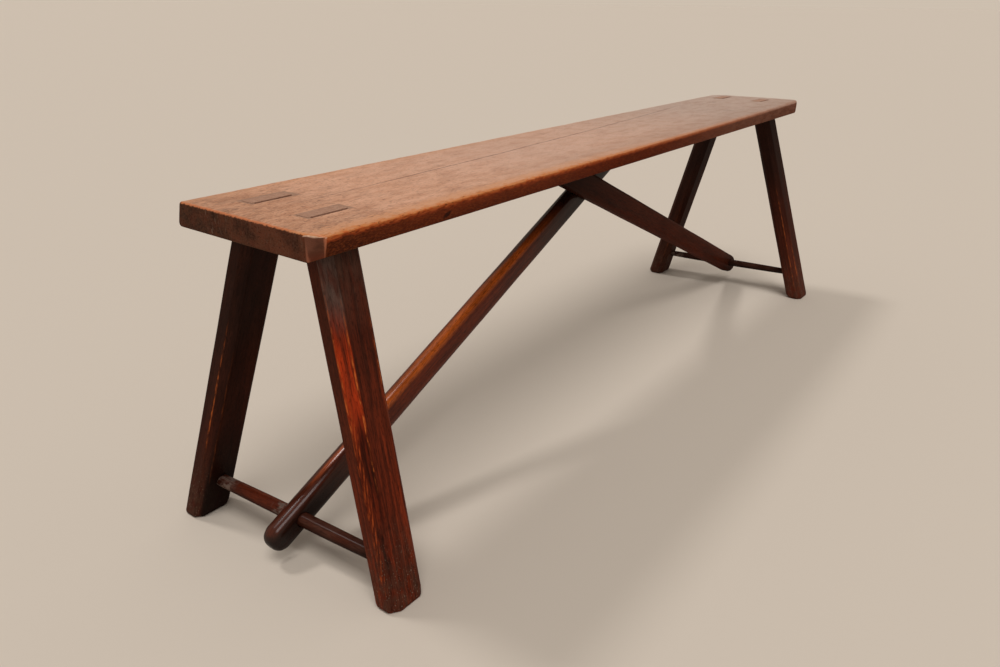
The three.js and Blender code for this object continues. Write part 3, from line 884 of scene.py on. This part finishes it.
def stretcher_mesh(side, middle_radius, end_radius, seed):
    front, back, run, side_way, down_way = stretcher_ways(side)
    outlines = []
    count = 72
    for i in range(count + 1):
        share = i / count
        radius = end_radius + (middle_radius - end_radius) * math.sin(math.pi * share) ** 0.8
        radius *= 0.985 + 0.015 * wobble(share * 11, seed)
        middle = front.lerp(back, share)
        outlines.append(round_outline(middle, radius, side_way, down_way, seed + share * 2.2, 0.035))
    return drawn_out(outlines)


def stick_grain(start, *ways):
    """A place in a stick's own measure: how far it is from the start each way."""
    return lambda spot: Vector([(spot - start).dot(way) for way in ways])


# Ash under the same dark wax, rubbed red in the middle, with painted shade on its underside and dust
# on its front half. More dust lies rough just behind the pole and against the back leg.
stretcher_sizes = {"left": (10.2 * mm, 8.6 * mm), "right": (8.4 * mm, 6.4 * mm)}
stretcher_lines = {side: stretcher_line(f"end_stretcher_{side}") for side in stretcher_sizes}
for number, (side, (middle_radius, end_radius)) in enumerate(stretcher_sizes.items()):
    front, back, run, side_way, down_way = stretcher_ways(side)
    stick = made_piece(f"stretcher_{side}", stretcher_mesh(side, middle_radius, end_radius, number * 4.7))
    smooth(stick, 50)
    mark_grain(stick, stick_grain(front, side_way, down_way, run))
    stretcher_wood, tree, surface, grain = new_wood(f"dark_ash_{side}", 0.3, 0.14, 0.25)
    across, down, along = add(tree, "SeparateXYZ", {0: grain}).node.outputs
    length = (back - front).length
    middle = length / 2
    rubbed = masked(
        tree, 1, (apart(tree, along, middle), 0.15, 0.07, 0.1, 0.8 if side == "left" else 0.25),
        (along, middle - 10 * mm, middle + 10 * mm, 0.35, 1),
    )
    dusty = figure(tree, grain, 12, 30, 0.42, 0.7, 9, 5)
    rough = figure(tree, grain, 9, 12, 0.4, 0.6, 8, 5)
    behind_pole = (along, middle + 4 * mm, middle + 14 * mm)
    darkly_waxed(tree, surface, grain, "#743019", rubbed, [
        ("#59392d", 0.5, dusty, (along, middle, middle - 30 * mm)),
        # Painted shade on the underside
        ("#1d0e09", 0.8, (down, -6 * mm, 4 * mm)),
        ("#6e5a50", 1, rough, behind_pole, (along, middle + 38 * mm, middle + 28 * mm)),
        ("#6e5a50", 1, rough, (along, length - 62 * mm, length - 46 * mm)),
    ])
    stick.data.materials.append(stretcher_wood)
    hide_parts(f"end_stretcher_{side}")
    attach(stick, "root")

# Braces
# Two poles with rounded edges. Each is bored for its stretcher near its low end, where a rubbed nose
# sticks out past it, and its top end is sawn level and nailed up against the seat. The left pole is
# halved behind the right one where they cross.

# In millimetres: where a pole meets the seat, along and across the bench from its middle, the
# pole's depth, width and rounding, how far its nose and the nose's shoulder lie past the stretcher,
# and half the depth of the nose's tip. Then its place on the stretcher, as a share from the back,
# and what sets its unevenness.
brace_shapes = {
    "left": {
        "reach": 87, "offset": 9, "deep": 38, "wide": 28, "round": 12.5, "nose": 49, "shoulder": 30,
        "tip": 9, "share": 0.5, "seed": 3.1,
    },
    "right": {
        "reach": -172, "offset": -9, "deep": 43, "wide": 30, "round": 10, "nose": 52, "shoulder": 16,
        "tip": 7, "share": 0.483, "seed": 8.4,
    },
}
nose_round = 5.5 * mm
halving_gap = 0.012
bench_shift = Vector((seat_left + 740 * mm, seat_middle, 0))


def brace_ways(side):
    """A pole's foot on its stretcher, its top under the seat, and its along, across and up."""
    shape = brace_shapes[side]
    front, back = stretcher_lines[side]
    foot = back.lerp(front, shape["share"])
    top = Vector((shape["reach"] * mm, shape["offset"] * mm, seat_under)) + bench_shift
    run = (top - foot).normalized()
    across = Vector((0, 0, 1)).cross(run).normalized()
    return foot, top, run, across, run.cross(across)


def brace_outline(side, along, grow):
    """A pole's cross-section at a distance from its stretcher, drawn in at the nose."""
    shape = brace_shapes[side]
    foot, top, run, across, up = brace_ways(side)
    half_wide = shape["wide"] * mm / 2
    half_deep = shape["deep"] * mm / 2
    nose = shape["nose"] * mm
    if along < -shape["shoulder"] * mm:
        share = (-along / mm - shape["shoulder"]) / (shape["nose"] - shape["shoulder"])
        half_deep *= 1 - (1 - shape["tip"] / (shape["deep"] / 2)) * share ** 2.2
        half_wide *= 1 - 0.25 * share ** 2.6
    if along < nose_round - nose:
        share = clamp((nose_round - nose - along) / nose_round)
        half_deep -= nose_round * (1 - math.sqrt(1 - share * share))
        half_wide -= nose_round * (1 - math.sqrt(1 - share * share))
    half_deep *= 0.985 + 0.015 * wobble(along * 11, shape["seed"]) + grow
    half_wide *= 0.985 + 0.015 * wobble(along * 13, shape["seed"], 4) + grow
    corners = [Vector((half_wide * i, half_deep * j)) for i, j in ((-1, -1), (1, -1), (1, 1), (-1, 1))]
    radius = min(shape["round"] * mm, half_deep * 0.9, half_wide * 0.9)
    outline = rounded(corners, [radius] * 4, (3, 4, 3, 4), close=2 * mm)
    return [foot + run * along + across * x + up * y for x, y in outline]


def brace_mesh(side, grow=0.0):
    """A pole from its nose to past the seat's underside, grown for the cut round it."""
    shape = brace_shapes[side]
    foot, top, run, across, up = brace_ways(side)
    nose = shape["nose"] * mm
    shoulder = shape["shoulder"] * mm
    end = (top - foot).length + shape["deep"] * mm / run.z
    tip = [nose_round * (1 - math.cos(math.radians(angle))) - nose for angle in (4, 15, 30, 45, 60, 75)]
    taper = [nose_round - nose + (nose - nose_round - shoulder) * i / 8 for i in range(9)]
    count = 160
    rest = [(end + shoulder) * i / count - shoulder for i in range(1, count + 1)]
    return drawn_out([brace_outline(side, along, grow) for along in tip + taper + rest])


def cutting_rod(side, radius):
    """A stretcher's straight rod, for the hole through a pole."""
    front, back, run, side_way, down_way = stretcher_ways(side)
    ends = [round_outline(spot, radius, side_way, down_way) for spot in (front, back)]
    return made_piece("rod", drawn_out(ends))


def above_seat_line():
    """A block over all that lies above the seat's underside, for the poles' level top ends."""
    block = bmesh.new()
    bmesh.ops.create_cube(block, size=1, matrix=Matrix.Translation((0, 0, seat_under + 0.5 - joint_gap)))
    bmesh.ops.scale(block, vec=(2, 2, 1), verts=block.verts)
    return made_piece("block", block)


# Ash under dark wax. The left pole is the glossiest piece: rubbed red-brown, and orange in a band
# along the front of its top that thins out upwards, with painted shade at both ends, and a rubbed
# stripe on top of its nose. The right pole is dull red-brown, a little paler on top, with painted shade
# at both ends.
def brace_finish(side):
    wax, wax_roughness = (0.4, 0.2) if side == "left" else (0.08, 0.3)
    made, tree, surface, grain = new_wood(f"waxed_pole_{side}", 0.34, wax, wax_roughness)
    across, height, along = add(tree, "SeparateXYZ", {0: grain}).node.outputs
    patchy = figure(tree, grain, 14, 90, 0.3, 0.65, 8, 5)
    if side == "right":
        rubbed = ramp(tree, along, 0.5, 0.85, 0.6, 0.15)
        darkly_waxed(tree, surface, grain, "#5c2b1d", rubbed, [
            # Paler on top, then painted shade on the nose by the stretcher and on the top end under the seat
            ("#5a3427", 0.5, patchy, (height, -10 * mm, 22 * mm)), ("#1c100c", 0.6, (along, 0.06, -0.02)),
            ("#120906", 0.7, (along, 0.74, 0.9)),
        ])
        return made
    rubbed = masked(tree, 1, (along, 0.07, 0.17), (along, 0.68, 0.42), (height, -19 * mm, -5 * mm, 0.6, 1))
    top_face = masked(tree, 0.35, (height, 13 * mm, 17 * mm), (along, 0.5, 0.35))
    for least in (top_face, 0.06):
        rubbed = reckon(tree, "MAXIMUM", rubbed, least)
    thinner = ramp(tree, along, 0.42, 0.55, 0, 5 * mm)
    thinner = reckon(tree, "ADD", across, thinner)
    band = ramp(tree, thinner, 9 * mm, 0, eased=True)
    darkly_waxed(tree, surface, grain, "#7a2f14", rubbed, [
        (
            "#e2702c", 1, band, (height, 12 * mm, 17 * mm), (along, 0.12, 0.19), (along, 0.66, 0.52),
            (patchy, 0, 1, 0.6, 1),
        ),
        # Painted shade on the low end by the stretcher, most on its lower side
        ("#160a07", 0.75, (along, 0.08, 0.03), (height, 15 * mm, 8 * mm)),
        (
            "#b85a34", 1, (apart(tree, across, 0), 5 * mm, 1.5 * mm), (height, 14 * mm, 17 * mm),
            (along, 0.03, 0.07), (along, 0.15, 0.11),
        ),
        # Painted shade on the top end under the seat
        ("#120906", 0.7, (along, 0.56, 0.7)),
    ])
    return made


for side in ("left", "right"):
    foot, top, run, across, up = brace_ways(side)
    pole = made_piece(f"pole_{side}", brace_mesh(side))
    cutters = [above_seat_line(), cutting_rod(side, stretcher_sizes[side][0] + joint_gap)]
    if side == "left":
        cutters.append(made_piece("other_pole", brace_mesh("right", halving_gap)))
    cut_out(pole, cutters)
    smooth(pole, 45)
    mark_grain(pole, stick_grain(foot, across, up, run))
    pole.data.materials.clear()
    pole.data.materials.append(brace_finish(side))
    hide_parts(f"brace_{side}")
    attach(pole, "root")

# Nails
# Hand-made wrought nails with rough heads: two up through each pole's top end into the seat, and
# one through the halving from behind. Blackened iron, so dark grey-brown and hardly shiny.
nail_iron = bpy.data.materials.new("blackened_wrought_iron")
nail_iron.use_nodes = True
tree = nail_iron.node_tree
surface = tree.nodes["Principled BSDF"]
surface.inputs["Metallic"].default_value = 0.8
place = add(tree, "TexCoord", {}, 3)
scale_marks = figure(tree, place, 1.6, 1.6, 0.35, 0.65, 1)
tree.links.new(tinted(tree, "#201b18", ("#4a382c", 1, scale_marks)), surface.inputs["Base Color"])
tree.links.new(ramp(tree, scale_marks, 0, 1, 0.5, 0.75), surface.inputs["Roughness"])
bump = add(tree, "Bump", {"Height": scale_marks, "Strength": 0.5, "Distance": 0.3 * mm})
tree.links.new(bump, surface.inputs["Normal"])
for node in [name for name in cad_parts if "nail" in name]:
    nail = worked_copy(node, 0.3 * mm)
    nail.data.materials.append(nail_iron)
    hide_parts(node)
    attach(nail, "root")

# Floor
# A plain pale floor that runs out past the picture on every side.
floor_half = 200
ground = bmesh.new()
bmesh.ops.create_grid(ground, x_segments=2, y_segments=2, size=floor_half)
floor = made_piece("floor", ground)
pale = bpy.data.materials.new("pale_floor")
pale.use_nodes = True
surface = pale.node_tree.nodes["Principled BSDF"]
surface.inputs["Base Color"].default_value = linear("#d4c7b8")
surface.inputs["Roughness"].default_value = 0.8
surface.inputs["Specular IOR Level"].default_value = 0.2
floor.data.materials.append(pale)

# Light
# A very soft light from high in front, on the left, and a narrower one from behind that draws the
# gleam along the waxed poles, in an evenly lit pale room. Seen directly or in a gloss, the room is
# as bright as the floor is far off, so that the two meet without a line.
lamps = (("soft_key", 1.28, 30, (-0.32, -0.3, 1)), ("soft_back", 0.7, 9, (-0.12, 0.5, 0.86)))
for name, energy, spread, from_way in lamps:
    lamp = bpy.data.lights.new(name, "SUN")
    lamp.energy = energy
    lamp.angle = math.radians(spread)
    light = bpy.data.objects.new(name, lamp)
    light.rotation_euler = Vector(from_way).to_track_quat("Z", "Y").to_euler()
    bpy.context.scene.collection.objects.link(light)
world = bpy.data.worlds.new("pale_room")
world.use_nodes = True
tree = world.node_tree
room_light = tree.nodes["Background"]
room_light.inputs["Color"].default_value = linear("#efe9e2")
room_light.inputs["Strength"].default_value = 0.4
seen_room = add(tree, "Background", {"Color": "#fcebd7", "Strength": 0.627})
rays = add(tree, "LightPath", {}).node.outputs
seen = reckon(tree, "MAXIMUM", rays["Is Camera Ray"], rays["Is Glossy Ray"])
seen = reckon(tree, "MAXIMUM", seen, rays["Is Transmission Ray"])
both = add(tree, "MixShader", {0: seen, 1: room_light.outputs[0], 2: seen_room})
tree.links.new(both, tree.nodes["World Output"].inputs["Surface"])
bpy.context.scene.world = world
bpy.context.scene.view_settings.view_transform = "Standard"
